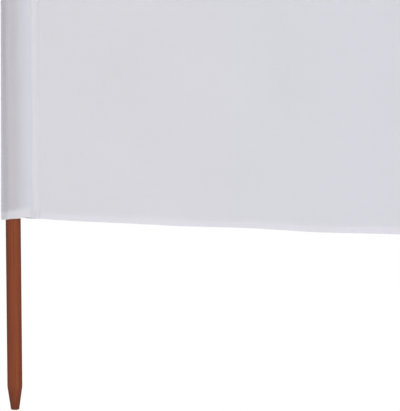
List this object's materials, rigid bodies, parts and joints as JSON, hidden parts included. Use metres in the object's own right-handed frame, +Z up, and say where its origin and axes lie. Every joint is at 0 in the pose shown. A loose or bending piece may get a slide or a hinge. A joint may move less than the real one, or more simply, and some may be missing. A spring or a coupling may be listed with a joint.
{
  "type": "beach windbreak",
  "caption": "Beach windbreak: a long low screen of light cloth in bays, held up by round wooden poles with tapered feet that stand in sleeves sewn into the cloth.",
  "frame": {"origin": "centre of the first pole's flat foot, at ground level", "axes": "+X along the windbreak from the first pole to the last, +Z up, +Y towards the side that the hems are folded to"},
  "size_m": [5.8169, 0.3654, 1.6],
  "materials": {
    "pole_wood": "brown-stained round softwood, satin, fine grain along the pole",
    "panel_cloth": "thin plain-woven synthetic cloth, matt, faintly bluish white",
    "sleeve_cloth": "the same cloth as the panels, doubled into a pocket"
  },
  "bodies": {
    "root": {"pole_1": "pole_wood", "pole_2": "pole_wood", "pole_3": "pole_wood", "pole_4": "pole_wood", "pole_5": "pole_wood", "pole_6": "pole_wood", "sleeve_1": "sleeve_cloth", "sleeve_6": "sleeve_cloth", "sleeve_front_2": "sleeve_cloth", "sleeve_front_3": "sleeve_cloth", "sleeve_front_4": "sleeve_cloth", "sleeve_front_5": "sleeve_cloth", "sleeve_back_2": "sleeve_cloth", "sleeve_back_3": "sleeve_cloth", "sleeve_back_4": "sleeve_cloth", "sleeve_back_5": "sleeve_cloth", "sleeve_hem_1": "sleeve_cloth", "sleeve_hem_2": "sleeve_cloth", "sleeve_hem_3": "sleeve_cloth", "sleeve_hem_4": "sleeve_cloth", "sleeve_hem_5": "sleeve_cloth", "sleeve_hem_6": "sleeve_cloth", "panel_1": "panel_cloth", "bottom_hem_1": "panel_cloth", "top_hem_1": "panel_cloth", "panel_2": "panel_cloth", "bottom_hem_2": "panel_cloth", "top_hem_2": "panel_cloth", "panel_3": "panel_cloth", "bottom_hem_3": "panel_cloth", "top_hem_3": "panel_cloth", "panel_4": "panel_cloth", "bottom_hem_4": "panel_cloth", "top_hem_4": "panel_cloth", "panel_5": "panel_cloth", "bottom_hem_5": "panel_cloth", "top_hem_5": "panel_cloth"}
  },
  "joints": []
}
